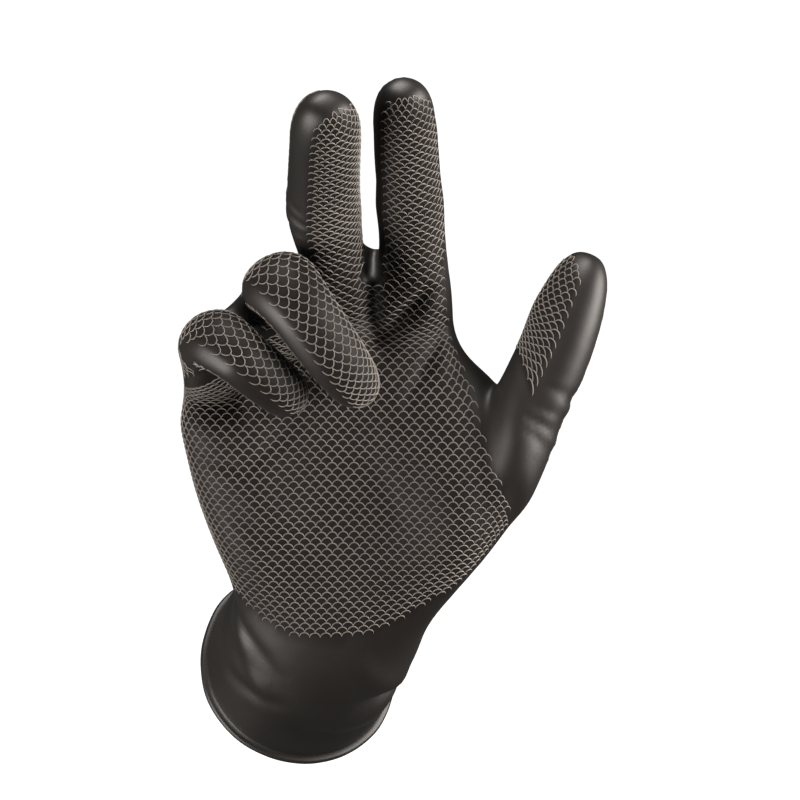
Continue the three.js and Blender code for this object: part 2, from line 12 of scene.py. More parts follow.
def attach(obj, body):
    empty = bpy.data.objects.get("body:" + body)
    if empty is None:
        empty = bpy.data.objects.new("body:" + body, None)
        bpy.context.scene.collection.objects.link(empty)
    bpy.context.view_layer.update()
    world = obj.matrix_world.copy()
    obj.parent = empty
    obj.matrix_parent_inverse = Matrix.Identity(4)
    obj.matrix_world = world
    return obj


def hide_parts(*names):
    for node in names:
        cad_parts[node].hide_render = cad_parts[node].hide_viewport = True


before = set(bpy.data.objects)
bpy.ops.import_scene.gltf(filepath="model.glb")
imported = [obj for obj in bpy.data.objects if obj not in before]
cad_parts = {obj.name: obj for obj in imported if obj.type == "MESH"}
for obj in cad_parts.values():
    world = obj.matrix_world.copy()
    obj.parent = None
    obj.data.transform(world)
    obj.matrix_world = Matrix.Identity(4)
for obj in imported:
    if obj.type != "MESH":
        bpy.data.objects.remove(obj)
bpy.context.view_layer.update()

# Sizes of the film and the hand in millimetres, as in the solid
MM = 0.001
FILM = 1.0
BEAD_RADIUS = 1.5
PALM_LENGTH = 90
HAND_WIDTH = 88
PALM_DEPTH = 31
FINGER_LENGTH = 100
FINGER_WIDTH = 20.8
FINGER_DEPTH = 18.4
WEB_DISTANCE = 20
WEB_GAP = 1.8
THUMB_LENGTH = 59.5
THUMB_WIDTH = 24
THUMB_DEPTH = 18.8
WRIST_WIDTH = 60
WRIST_DEPTH = 39
CUFF_LENGTH = 57
CUFF_WIDTH = 61

# The pose in degrees, and the radii of the bends
WRIST_BEND = 53
CUFF_SWAY = 15
THUMB_TWIST = 58
THUMB_LEAN = 19
THUMB_BEND = 4
WRIST_RADIUS = 31
KNUCKLE_RADIUS = 15
JOINT_RADIUS = 10.5

# Fingers from the little one to the index: the knuckle's x, y and z as shares of the palm,
# bones as shares of the finger length, width, depth, how much wider the finger is at its
# middle joint, and in degrees flex, sway, veer, spread and roll
FINGERS = [
    (-0.386, -0.153, 0.786, (0.331, 0.17, 0.204), 0.8, 0.848, 0.06,
     (57.8, 115, 43.3), -4.2, -11.6, 0, 58.8),
    (-0.191, 0.02, 0.905, (0.421, 0.234, 0.238), 0.85, 0.93, 0.16,
     (55.9, 115, 35.3), 0, -21.6, 0, 51.3),
    (0.004, 0, 1, (0.47, 0.29, 0.24), 1, 1, 0, (45.1, 6.5, 4.5), 0, 5, -3.8, 0),
    (0.282, -0.032, 0.967, (0.43, 0.25, 0.24), 0.923, 0.957, 0, (33.5, 8, 6), 0, 0, -3.5, 0),
]

# Sections along a finger: the joint, the distance past it in half widths, width and depth
FINGER_SECTIONS = [
    (1, -0.83, 0.97, 0.97),
    (1, 0, 1.04, 1.03),
    (1, 0.83, 0.95, 0.95),
    (2, -0.5, 0.93, 0.93),
    (2, 0.5, 0.92, 0.9),
    (3, -0.95, 0.87, 0.86),
    (3, -0.28, 0.74, 0.7),
    (3, 0.08, 0.4, 0.38),
]
TIP_REACH = 0.16

# Thumb joints as shares of the palm, and sections along the thumb: place, width, depth and,
# but for those near the tip, tilt
THUMB_ROOT = (0.318, -0.29, 0.156)
THUMB_KNUCKLE = (0.602, -0.484, 0.556)
THUMB_FIRST_BONE = 0.521
THUMB_SECTIONS = [
    (0, 1.15, 1.28, 52),
    (0.176, 0.9, 1.16, 55),
    (0.336, 0.95, 1.09, 45),
    (0.504, 1.03, 1.05, 27),
    (0.672, 1.03, 0.99, 8),
]
THUMB_TIP_SECTIONS = [
    (-0.95, 0.92, 0.88),
    (-0.28, 0.74, 0.68),
    (0.08, 0.4, 0.36),
]

# Sections of the cuff from its opening to the wrist: place, and how far the width, the front
# and the back have grown
CUFF_SECTIONS = [
    (1, 1, 1, 1),
    (0.77, 0.75, 0.94, 0.94),
    (0.49, 0.75, 0.78, 0.75),
    (0.228, 0.5, 0.44, 0.31),
    (0, 0, 0, 0),
]
WRIST_FRONT = 0.59

# As shares of the palm: sections of the palm by place, left and right edge, front, back and
# lift, of the knuckles by place and depth, and mounds by x, z, spans along both and rise
PALM_SECTIONS = [
    (0.18, -0.364, 0.54, 0.645, 0.516, 0),
    (0.36, -0.42, 0.548, 0.645, 0.484, 0),
    (0.54, -0.46, 0.535, 0.63, 0.468, 0),
    (0.73, -0.489, 0.523, 0.597, 0.42, 0.1),
    (0.82, -0.5, 0.445, 0.565, 0.42, 0.06),
]
KNUCKLE_SECTIONS = [
    (-0.325, 1.5),
    (0.1, 1.32),
    (0.55, 1.15),
]
MOUNDS = [
    (0.466, 0.356, 0.17, 0.267, 0.355),
    (-0.273, 0.289, 0.148, 0.289, 0.129),
    (0, 0.533, 0.182, 0.222, -0.08),
]
PALM_ARCH = 0.133
ARCH_MIDDLE = 0.114
HEEL_SECTIONS = 2

# How square and full the palm's sections are, how far their profile, outer columns and side
# points reach across, and how far those points lie towards the palm side
PALM_SQUARENESS = 2.6
PALM_FULLNESS = 1.02
PROFILE_REACH = 1.08
COLUMN_REACH = 0.93
SIDE_REACH = 1.06
FLANK_SHARE = 0.065

# Shares of a finger's half width and half depth at its root and at the web
ROOT_DEPTH = 0.95
ROOT_FLANK_DEPTH = 0.86
ROOT_SIDE = 1.147
WEB_DEPTH = 1.05
WEB_FLANK = 0.76
WEB_FLANK_DEPTH = 0.74

# Folds of the film: what each lies on, its place as a share of the length, its middle in
# degrees from the palm side towards the thumb side, half its length in degrees, its lean, and
# its width and depth as shares of the width below
FOLDS = [
    ("cuff", 0.4, 78, 46, 0, 0.1, -0.055),
    ("cuff", 0.2, 180, 60, 0, 0.05, 0.03),
    ("cuff", 0.42, 170, 55, 0.05, 0.06, -0.02),
    ("cuff", 0.34, -78, 34, -0.2, 0.09, -0.018),
    ("thumb", 0.2, -150, 50, 0, 0.12, -0.03),
    ("thumb", 0.34, -150, 50, 0, 0.12, -0.03),
]

# Finer creases of the same kind, too small for the solid
CREASES = [
    ("finger2", 0.42, -85, 46, 0.1, 0.05, -0.04),
    ("finger2", 0.48, -80, 52, 0.05, 0.05, -0.05),
    ("finger2", 0.545, -85, 42, -0.1, 0.05, -0.035),
    ("finger2", 0.3, 0, 60, 0.05, 0.07, -0.03),
    ("finger3", 0.24, 0, 60, 0.1, 0.07, -0.03),
    ("finger3", 0.46, 10, 55, -0.05, 0.05, -0.016),
    ("thumb", 0.07, -112, 62, 0.2, 0.055, -0.013),
    ("thumb", 0.155, -106, 74, 0.1, 0.055, -0.019),
    ("thumb", 0.24, -114, 64, 0, 0.055, -0.014),
    ("thumb", 0.335, -108, 68, 0.1, 0.055, -0.016),
    ("cuff", 0.12, -60, 40, 0.35, 0.05, -0.02),
    ("cuff", 0.32, -45, 34, 0.6, 0.06, 0.011),
    ("cuff", 0.5, -50, 30, -0.4, 0.06, -0.018),
    ("cuff", 0.22, 50, 30, 0.5, 0.05, 0.02),
    ("cuff", 0.44, 58, 30, 0.5, 0.05, -0.026),
    ("cuff", 0.66, 20, 36, 0.3, 0.07, -0.016),
    ("cuff", 0.3, 150, 50, 0.15, 0.05, 0.014),
]

# Creases across the palm: x and z of both ends as shares of its breadth and length, and width
# and depth in millimetres
PALM_CREASES = [
    (-0.45, 0.53, -0.3, 0.51, 1.8, -1.35),
    (-0.32, 0.47, -0.1, 0.66, 2.2, -1.35),
    (-0.38, 0.41, -0.1, 0.17, 3.6, -1.05),
    (0.1, 0.56, 0.24, 0.3, 4.5, -0.75),
    (0.118, 1.24, 0.14, 0.88, 2.6, -2.7),
    (0.335, 1.1, 0.13, 0.88, 2, -1.65),
    (0.36, 1.06, 0.17, 0.8, 2.6, 0.9),
    (0.39, 0.97, 0.23, 0.68, 2.4, -1.65),
    (0.3, 0.8, 0.16, 0.6, 3, 0.6),
]

# The fish-scale grip: one scale and its ridge in millimetres, the ridge's size at the legs of
# the arch as a share of that, and the arch's height as a share of a row
SCALE_WIDTH = 3.2
SCALE_ROW = 1.72
RIDGE_WIDTH = 0.44
CREST_WIDTH = 0.16
RIDGE_HEIGHT = 0.24
RIDGE_SINK = 0.12
LEG_SHARE = 0.5
ARC_RISE = 1.04
ARC_POINTS = 9

# Where the grip lies on each finger and the thumb: the middle of its strip and half its span,
# in degrees, whether the finger is folded, and how much of the tip stays smooth
FINGER_GRIPS = [
    (-31, 60, True),
    (-28, 63, True),
    (34, 62, False),
    (12, 64, False),
]
# Half the span at the web, and on the back of the fingers that stand up
WEB_SPAN = 54
BACK_SPAN = 46
THUMB_GRIP = dict(front=15, back=160, span=54, low=13)
SMOOTH_TIP = 5
SMOOTH_BACK_TIP = 1.8 * SMOOTH_TIP
SMOOTH_THUMB_TIP = SMOOTH_TIP / 3
FINGER_ROUNDING = 4
THUMB_ROUNDING = 5

# How far the rows of scales are tried beside a finger, and past the outer two, in millimetres
STRIP_REACH = 40
FORMER_EDGES = (-70, 80)

# The edge of the grip beside the thumb, from the wrist to the index finger, in millimetres
# across and along the palm, for the palm side and for the back of the hand
GRIP_EDGES = {
    "front": [(42, -10), (58, 8), (60, 26), (54, 31), (49, 39), (43, 54), (41.7, 66), (36, 86),
              (34, 100)],
    "back": [(30, -10), (36, 10), (40, 30), (41, 54), (40, 70), (36, 86), (34, 100)],
}
# Its other edges in millimetres: beside and below the little finger, and the curve above the
# cuff with its lowest height, its rise and how far across it has risen by that
LITTLE_EDGE = -56
ROOT_LOW = 62
HEEL_LOW = -10
HEEL_RISE = 12
HEEL_REACH = 34
GRIP_LOW = -12

# Columns of the cage on each face, half the angle they take up, the numbers of a ring's two
# side points, the rings that the thumb starts from, and the corners of the sections
COLUMNS = 12
COLUMN_SPREAD = 66
RIGHT = COLUMNS
LEFT = 2 * COLUMNS + 1
RING_POINTS = 2 * COLUMNS + 2
THUMB_RINGS = 4
FINGER_SIDES = 8
THUMB_SIDES = 10
FINGER_TURN = 360 // FINGER_SIDES
THUMB_TURN = 360 // THUMB_SIDES

# How much of its size a section with eight, ten or more sides keeps when it is rounded
OCTAGON_LOSS = 0.902
DECAGON_LOSS = 0.937
PALM_LOSS = 0.99
SKIN_LEVELS = 3

# Step along the middle lines, the faces of the flat former, and the place of what isn't on it
STEP = 0.5
LAYERS = ("front", "back")
OFF_MAP = -1000.0


def vector(x, y, z):
    return np.array([x, y, z], float)


def unit(v):
    return v / np.linalg.norm(v)


def mix(a, b, share):
    return a + (b - a) * share


def turned(toward, away, angle):
    first = toward * math.cos(angle) + away * math.sin(angle)
    second = away * math.cos(angle) - toward * math.sin(angle)
    return first, second


class MiddleLine:
    """The middle line of a finger, the thumb or the cuff, with a frame along it."""

    def __init__(self, start, side, palm, ahead, low, high, bends=(), sways=(), twists=()):
        self.low = low
        rows = [(start, side, palm, ahead)]
        for i in range(math.ceil((high - low) / STEP)):
            s = low + (i + 0.5) * STEP
            point, side, palm, ahead = rows[-1]
            before = ahead
            ahead, palm = turned(ahead, palm, self.spread(bends, s))
            ahead, side = turned(ahead, side, self.spread(sways, s))
            palm, side = turned(palm, side, self.spread(twists, s))
            rows.append((point + (before + ahead) * STEP / 2, side, palm, ahead))
        self.points, self.sides, self.palms, self.aheads = map(np.array, zip(*rows))

    @staticmethod
    def spread(turns, s):
        """The share of the turns that falls on the step around s, in radians."""
        total = 0
        for at, angle, length in turns:
            low = max(s - STEP / 2, at - length / 2)
            high = min(s + STEP / 2, at + length / 2)
            if high > low:
                total += angle * (high - low) / length
        return math.radians(total)

    def at(self, s):
        f = (s - self.low) / STEP
        i = min(max(math.floor(f), 0), len(self.points) - 2)
        columns = self.points, self.sides, self.palms, self.aheads
        point, side, palm, ahead = (mix(rows[i], rows[i + 1], f - i) for rows in columns)
        return point, unit(side), unit(palm), unit(ahead)

    def around(self, points):
        """Distance along the line and angle around it, in degrees, of many points."""
        gaps = ((points[:, None, :] - self.points[None, :, :]) ** 2).sum(2)
        nearest = gaps.argmin(1)
        offset = points - self.points[nearest]
        sideways = (offset * self.sides[nearest]).sum(1)
        palmwards = (offset * self.palms[nearest]).sum(1)
        return self.low + nearest * STEP, np.degrees(np.arctan2(sideways, palmwards))


def arc(at, angle, radius):
    return at, angle, max(abs(math.radians(angle)) * radius, 2 * STEP)


def stretch(low, high, angle):
    return (low + high) / 2, angle, high - low


class Finger:
    """Sizes of one finger in millimetres, worked out from its row of shares."""

    def __init__(self, x, y, z, bones, wide, deep, swell, *angles):
        self.x = x * HAND_WIDTH
        self.y = y * PALM_DEPTH
        self.z = z * PALM_LENGTH
        self.joints = [0, *np.cumsum(bones) * FINGER_LENGTH]
        self.half = wide * FINGER_WIDTH / 2
        self.swell = swell
        self.rise = deep * FINGER_DEPTH / 2
        self.quarter = self.half * math.pi / 2
        self.line = self.middle_line(*angles)
        self.set_stations()

    def set_stations(self):
        """The sections along the finger with their distance from the knuckle, once along the
        middle line and once along the film, which differ where the tip closes."""
        self.stations = []
        along, before, wide_before = WEB_DISTANCE, WEB_DISTANCE, 1
        for joint, by, wide, deep in [*FINGER_SECTIONS, (3, TIP_REACH, 0, 0)]:
            own = self.half if joint == 3 else FINGER_WIDTH / 2
            s = self.joints[joint] + by * own
            narrowing = (wide - wide_before) * self.half if joint == 3 else 0
            along += math.hypot(s - before, narrowing)
            before, wide_before = s, wide
            self.stations.append((s, along, wide, deep))
        self.film_end = along

    def middle_line(self, flex, sway, veer, spread, roll):
        angle = math.radians(spread)
        ahead = vector(math.sin(angle), 0, math.cos(angle))
        side = vector(math.cos(angle), 0, -math.sin(angle))
        first, second, end = self.joints[1:]
        return MiddleLine(
            vector(self.x, self.y, self.z) - ahead * WEB_DISTANCE, side, vector(0, -1, 0), ahead,
            -WEB_DISTANCE, end + FINGER_WIDTH / 4,
            bends=[arc(0, flex[0], KNUCKLE_RADIUS), arc(first, flex[1], JOINT_RADIUS),
                   arc(second, flex[2], JOINT_RADIUS)],
            sways=[arc(0.05 * first, sway, 2 * KNUCKLE_RADIUS),
                   arc(first, veer, 2 * KNUCKLE_RADIUS)],
            twists=[stretch(0.14 * first, 0.9 * first, roll)] if roll else [])


def thumb_line():
    palm_size = vector(HAND_WIDTH, PALM_DEPTH, PALM_LENGTH)
    root = np.array(THUMB_ROOT) * palm_size
    ahead = np.array(THUMB_KNUCKLE) * palm_size - root
    bone = np.linalg.norm(ahead)
    ahead = ahead / bone
    palm = unit(vector(0, -1, 0) + ahead * ahead[1])
    return MiddleLine(
        root, np.cross(palm, ahead), palm, ahead, -bone, THUMB_LENGTH + THUMB_WIDTH / 4,
        bends=[arc(THUMB_FIRST_BONE * THUMB_LENGTH, THUMB_BEND, 1.5 * JOINT_RADIUS)],
        sways=[arc(0, THUMB_LEAN, 2 * KNUCKLE_RADIUS)],
        twists=[stretch(-0.75 * bone, 0.067 * THUMB_LENGTH, THUMB_TWIST)])


def cuff_line():
    return MiddleLine(
        vector(0, 0, 0.2 * PALM_LENGTH), vector(1, 0, 0), vector(0, -1, 0), vector(0, 0, -1),
        -0.2 * PALM_LENGTH, CUFF_LENGTH + BEAD_RADIUS,
        bends=[arc(0, -WRIST_BEND, WRIST_RADIUS)],
        sways=[arc(0.07 * CUFF_LENGTH, -CUFF_SWAY, 2 * WRIST_RADIUS)])


fingers = [Finger(*row) for row in FINGERS]
root_edge = 0.912 * FINGER_WIDTH / 2
for k, finger in enumerate(fingers):
    finger.root_left = (finger.x - fingers[k - 1].x - WEB_GAP) / 2 if k else root_edge
    is_last = k + 1 == len(fingers)
    finger.root_right = root_edge if is_last else (fingers[k + 1].x - finger.x - WEB_GAP) / 2
thumb = thumb_line()
cuff = cuff_line()
rim_point, _, _, rim_ahead = cuff.at(CUFF_LENGTH)

# Names of the parts of the film, in the order of their numbers
PARTS = ["cuff", "palm", "thenar", "finger0", "finger1", "finger2", "finger3", "thumb"]
LINES = {
    "cuff": (cuff, CUFF_LENGTH, CUFF_WIDTH),
    "thumb": (thumb, THUMB_LENGTH, THUMB_WIDTH),
    **{f"finger{k}": (f.line, f.joints[3], 2 * f.half) for k, f in enumerate(fingers)},
}


class Cage:
    """The control cage: points, faces, each face's part, and where its corners lie on the flat
    former, once as seen from the palm side and once from the back."""

    def __init__(self):
        self.points = []
        self.faces = []
        self.parts = []
        self.flats = {"front": [], "back": []}

    def point(self, position):
        self.points.append(position)
        return len(self.points) - 1

    def face(self, part, corners, front=None, back=None):
        self.faces.append(corners)
        self.parts.append(PARTS.index(part))
        for layer, flat in (("front", front), ("back", back)):
            self.flats[layer].append(flat or [(OFF_MAP, OFF_MAP)] * 4)


column_angles = np.radians(np.linspace(-COLUMN_SPREAD, COLUMN_SPREAD, COLUMNS))
knuckle_columns = [(f.x + shift, f.z) for f in fingers
                   for shift in (-f.root_left, 0, f.root_right)]


class Ring:
    """One ring of the cage: its columns in front and behind, its two side points, and the
    places of the columns across and along the flat former."""

    def __init__(self, front, back, left, right, across, length, sides=None):
        self.loop = [*front, right, *back[::-1], left]
        self.sides = sides
        self.across = list(across)
        self.length = length


def cuff_ring(at, wider, front, back):
    edge = CUFF_LENGTH - 1.9 * BEAD_RADIUS
    point, side, palm, _ = cuff.at(at * edge)
    half = mix(WRIST_WIDTH, CUFF_WIDTH, wider) / 2 / PALM_LOSS
    rise = mix(WRIST_FRONT * WRIST_DEPTH, CUFF_WIDTH / 2, front) / PALM_LOSS
    drop = mix((1 - WRIST_FRONT) * WRIST_DEPTH, CUFF_WIDTH / 2, back) / PALM_LOSS

    def columns(depth):
        return [point + side * half * math.sin(t) + palm * depth * math.cos(t)
                for t in column_angles]

    return Ring(columns(rise), columns(-drop), point - side * half, point + side * half,
                half * column_angles, None)


def palm_ring(at, left, right, front, back, lift):
    half = (right - left) / 2 * HAND_WIDTH
    middle = (right + left) / 2 * HAND_WIDTH
    raw = np.array([mix(math.sin(t) * WRIST_WIDTH / 2, x, at)
                    for t, (x, _) in zip(column_angles, knuckle_columns)])
    xs = middle + (raw - (raw[0] + raw[-1]) / 2) / (raw[-1] - raw[0]) * 2 * COLUMN_REACH * half
    zs = at * np.array([z for _, z in knuckle_columns])
    across = np.minimum(abs(xs - middle) / (PROFILE_REACH * half), 1)
    profile = PALM_FULLNESS * (1 - across ** PALM_SQUARENESS) ** (1 / PALM_SQUARENESS)
    arch_share = (xs - ARCH_MIDDLE * HAND_WIDTH) / (HAND_WIDTH / 3)
    arch = -at * PALM_ARCH * PALM_DEPTH * arch_share ** 2
    mound = sum(rise * PALM_DEPTH * np.exp(
        -((xs - x * HAND_WIDTH) / (span_x * HAND_WIDTH)) ** 2
        - ((zs - z * PALM_LENGTH) / (span_z * PALM_LENGTH)) ** 2)
        for x, z, span_x, span_z, rise in MOUNDS)
    fronts = list(np.stack([xs, arch - front * PALM_DEPTH * profile - mound, zs], 1))
    backs = list(np.stack([xs, arch + back * PALM_DEPTH * profile, zs], 1))
    flank = FLANK_SHARE * PALM_DEPTH
    return Ring(fronts, backs, vector(middle - SIDE_REACH * half, arch[0] - flank, zs[0]),
                vector(middle + SIDE_REACH * half, arch[-1] - flank, zs[-1] + lift * PALM_LENGTH),
                xs, [*zs, zs[-1], *zs[::-1], zs[0]])


def finger_lengths(s):
    """How far up the former each point of a ring across the finger roots lies."""
    lengths = [f.z + s for f in fingers for _ in range(3)]
    return [*lengths, lengths[-1], *lengths[::-1], lengths[0]]


def root_columns(finger, s, shifts, depth, flank):
    """Three points in front of a finger's root and three behind it."""
    point, side, palm, _ = finger.line.at(s)
    rises = [depth * share * finger.rise / OCTAGON_LOSS for share in (flank, 1, flank)]
    return ([point + side * shift + palm * rise for shift, rise in zip(shifts, rises)],
            [point + side * shift - palm * rise for shift, rise in zip(shifts, rises)])


def knuckle_ring(at, deep):
    front, back, edges = [], [], []
    for finger in fingers:
        before, behind = root_columns(
            finger, at * WEB_DISTANCE, (-finger.root_left, 0, finger.root_right),
            ROOT_DEPTH * deep, ROOT_FLANK_DEPTH)
        front += before
        back += behind
    for finger, way in ((fingers[0], -1), (fingers[-1], 1)):
        point, side, _, _ = finger.line.at(at * WEB_DISTANCE)
        edges.append(point + side * way * ROOT_SIDE * finger.half)
    across = [x for x, _ in knuckle_columns]
    return Ring(front, back, *edges, across, finger_lengths(at * WEB_DISTANCE))


def web_ring():
    front, back, sides, across = [], [], [], []
    for k, finger in enumerate(fingers):
        point, side, _, _ = finger.line.at(WEB_DISTANCE)
        half = finger.half / OCTAGON_LOSS
        left = min(half, finger.root_left) if k else half
        right = min(half, finger.root_right) if k + 1 < len(fingers) else half
        before, behind = root_columns(
            finger, WEB_DISTANCE, (-WEB_FLANK * left, 0, WEB_FLANK * right),
            WEB_DEPTH, WEB_FLANK_DEPTH)
        front += before
        back += behind
        across += [finger.x - finger.quarter / 2, finger.x, finger.x + finger.quarter / 2]
        sides.append((point - side * left, point + side * right))
    return Ring(front, back, sides[0][0], sides[-1][1], across, finger_lengths(WEB_DISTANCE),
                sides)


def set_flats(rings):
    """Places every ring on the flat former. The cuff and the heel of the palm are measured
    along the film from the middle of the palm, everything above it along the fingers."""
    fixed = len(CUFF_SECTIONS) + HEEL_SECTIONS
    for i in range(fixed - 1, -1, -1):
        steps = np.linalg.norm(np.array(rings[i + 1].loop) - np.array(rings[i].loop), axis=1)
        rings[i].length = list(np.array(rings[i + 1].length) - steps)
    for i, ring in enumerate(rings):
        loop = np.array(ring.loop)
        gaps = np.linalg.norm(np.roll(loop, -1, axis=0) - loop, axis=1)
        if ring.sides:
            gaps[[RIGHT - 1, RIGHT, LEFT - 1, LEFT]] = fingers[-1].quarter / 2
        front = {j: ring.across[j] for j in range(COLUMNS)}
        for j in (RIGHT, RIGHT + 1):
            front[j] = front[j - 1] + gaps[j - 1]
        front[LEFT] = front[0] - gaps[LEFT]
        front[LEFT - 1] = front[LEFT] - gaps[LEFT - 1]
        back = {j: ring.across[LEFT - 1 - j] for j in range(RIGHT + 1, LEFT)}
        for j in (RIGHT, RIGHT - 1):
            back[j] = back[j + 1] + gaps[j]
        back[LEFT] = back[LEFT - 1] - gaps[LEFT - 1]
        back[0] = back[LEFT] - gaps[LEFT]
        ring.flats = {"front": front, "back": back}


def flat_corners(layer, *corners):
    """The flat places of a face's corners, or nothing where the layer doesn't reach."""
    if any(j not in ring.flats[layer] for ring, j in corners):
        return None
    return [(ring.flats[layer][j], ring.length[j]) for ring, j in corners]


def across_former(x, quarter, sides, start, middle, zero=0, way=1):
    """A function from a corner's number round a finger to its place across the flat former."""
    turn = 360 // sides

    def place(a, base):
        angle = (start + turn * base - middle + 180) % 360 - 180 + middle + turn * (a - base)
        return x + way * (angle - zero) / 90 * quarter

    return place


def add_section(cage, part, ring, following, places, low, high, order):
    """Faces from one section to the following one, each with its corners in that order."""
    for a in range(len(ring)):
        b = (a + 1) % len(ring)
        corners = [ring[a], ring[b], following[b], following[a]]
        flats = [[(place(a, a), low), (place(a + 1, a), low),
                  (place(a + 1, a), high), (place(a, a), high)] for place in places]
        cage.face(part, [corners[i] for i in order], *([flat[i] for i in order] for flat in flats))


def close_tip(cage, part, ring, tip, places, low, high, order):
    """Faces from the last section to the tip, each with two of its sides."""
    for a in range(0, len(ring), 2):
        corners = [ring[a], ring[a + 1], ring[(a + 2) % len(ring)], tip]
        flats = [[*((place(n, a), low) for n in (a, a + 1, a + 2)), (place(a + 1, a), high)]
                 for place in places]
        cage.face(part, [corners[i] for i in order], *([flat[i] for i in order] for flat in flats))


def add_finger(cage, k, ring):
    finger, turn = fingers[k], FINGER_GRIPS[k][0]
    part = f"finger{k}"
    sizes = finger.x, finger.quarter, FINGER_SIDES, -FINGER_TURN
    places = [across_former(*sizes, turn), across_former(*sizes, turn + 180, 180, -1)]
    low = finger.z + WEB_DISTANCE
    _, first, _, end = finger.joints
    *sections, (tip_at, _, _, _) = finger.stations
    for s, along, wide, deep in sections:
        point, side, palm, _ = finger.line.at(s)
        swelling = 1 + finger.swell * min(1, (end - s) / (end - first))
        following = []
        for a in range(FINGER_SIDES):
            t = math.radians(135 - FINGER_TURN * a)
            across = finger.half * swelling * wide * math.cos(t) / OCTAGON_LOSS
            rise = finger.rise * deep * math.sin(t) / OCTAGON_LOSS
            following.append(cage.point(point + side * across + palm * rise))
        high = finger.z + along
        add_section(cage, part, ring, following, places, low, high, (0, 1, 2, 3))
        ring, low = following, high
    tip = cage.point(finger.line.at(tip_at)[0])
    close_tip(cage, part, ring, tip, places, low, finger.z + finger.film_end, (1, 2, 3, 0))


THUMB_QUARTER = (THUMB_WIDTH + THUMB_DEPTH) / 4 * math.pi / 2
THUMB_SPAN = THUMB_GRIP["span"] / 90 * THUMB_QUARTER


def thenar_flats(cage, palm_flats, ring, following):
    """Flat places of the ball of the thumb, which carry on those of the palm beside it. The
    outer ones lie as far across as seen from the palm side."""
    outer = [(cage.points[n][0], cage.points[n][2] + flat[1] - cage.points[m][2])
             for n, m, flat in zip(following, ring, palm_flats)]
    return [[palm_flats[a + 1], palm_flats[a], outer[a], outer[a + 1]]
            for a in range(THUMB_SIDES // 2)]


def add_thumb(cage, rings, ids):
    half, rise = THUMB_WIDTH / 2, THUMB_DEPTH / 2
    first = len(CUFF_SECTIONS)
    gap = list(range(first, first + THUMB_RINGS))
    ring = [ids[gap[0]][RIGHT], *(ids[g][RIGHT - 1] for g in gap),
            ids[gap[-1]][RIGHT], *(ids[g][RIGHT + 1] for g in reversed(gap))]
    rows = [(at * THUMB_LENGTH, *sizes) for at, *sizes in THUMB_SECTIONS]
    rows += [(THUMB_LENGTH + by * half, *sizes, 0) for by, *sizes in THUMB_TIP_SECTIONS]
    places = [across_former(0, THUMB_QUARTER, THUMB_SIDES, -90, THUMB_GRIP[layer],
                            THUMB_GRIP[layer]) for layer in LAYERS]
    low = 0
    for number, (s, wide, deep, tilt) in enumerate(rows):
        point, side, palm, ahead = thumb.at(s)
        inner = unit(np.cross(vector(0, -1, 0), ahead))
        following = []
        for a in range(THUMB_SIDES):
            t = math.radians(180 - THUMB_TURN * a)
            across = side * half * wide * math.cos(t)
            corner = (across + palm * rise * deep * math.sin(t)) / DECAGON_LOSS
            lean = corner @ inner * math.tan(math.radians(tilt))
            following.append(cage.point(point + corner + ahead * lean))
        if number:
            add_section(cage, "thumb", ring, following, places, low, s, (1, 0, 3, 2))
        else:
            beside = [(gap[0], RIGHT), *((g, RIGHT - 1) for g in gap), (gap[-1], RIGHT)]
            palm_flats = [(rings[g].flats["front"][j], rings[g].length[j]) for g, j in beside]
            thenar = thenar_flats(cage, palm_flats, ring, following)
            for a in range(THUMB_SIDES):
                b = (a + 1) % THUMB_SIDES
                cage.face("thenar", [ring[b], ring[a], following[a], following[b]],
                          thenar[a] if a < len(thenar) else None)
        ring, low = following, s
    s = THUMB_LENGTH + TIP_REACH * half
    tip = cage.point(thumb.at(s)[0])
    close_tip(cage, "thumb", ring, tip, places, low, s, (2, 1, 0, 3))


def build_cage():
    cage = Cage()
    rings = [*(cuff_ring(*row) for row in CUFF_SECTIONS),
             *(palm_ring(*row) for row in PALM_SECTIONS),
             *(knuckle_ring(*row) for row in KNUCKLE_SECTIONS), web_ring()]
    set_flats(rings)
    ids = [[cage.point(p) for p in ring.loop] for ring in rings]
    thumb_first = len(CUFF_SECTIONS)
    for i in range(len(rings) - 1):
        for j in range(RING_POINTS):
            n = (j + 1) % RING_POINTS
            if thumb_first <= i < thumb_first + THUMB_RINGS - 1 and j in (RIGHT - 1, RIGHT):
                continue
            corners = [(rings[i], j), (rings[i], n), (rings[i + 1], n), (rings[i + 1], j)]
            cage.face("cuff" if i < thumb_first else "palm",
                      [ids[i][j], ids[i][n], ids[i + 1][n], ids[i + 1][j]],
                      flat_corners("front", *corners), flat_corners("back", *corners))
    top = ids[-1]
    side_ids = []
    for k, (left, right) in enumerate(rings[-1].sides):
        side_ids.append((cage.point(left) if k else top[LEFT],
                         cage.point(right) if k + 1 < len(fingers) else top[RIGHT]))
    for k in range(len(fingers) - 1):
        i = 3 * k + 2
        cage.face("palm", [top[i], top[i + 1], side_ids[k + 1][0], side_ids[k][1]])
        j = LEFT - 1 - i
        cage.face("palm", [side_ids[k][1], side_ids[k + 1][0], top[j - 1], top[j]])
    for k in range(len(fingers)):
        i = 3 * k
        j = LEFT - 1 - i
        add_finger(cage, k, [top[i], top[i + 1], top[i + 2], side_ids[k][1],
                             top[j - 2], top[j - 1], top[j], side_ids[k][0]])
    add_thumb(cage, rings, ids)
    return cage


def read(items, name, width, kind):
    """One property of all items of a mesh as an array with that many columns."""
    values = np.empty(len(items) * width, kind)
    items.foreach_get(name, values)
    return values.reshape(-1, width)


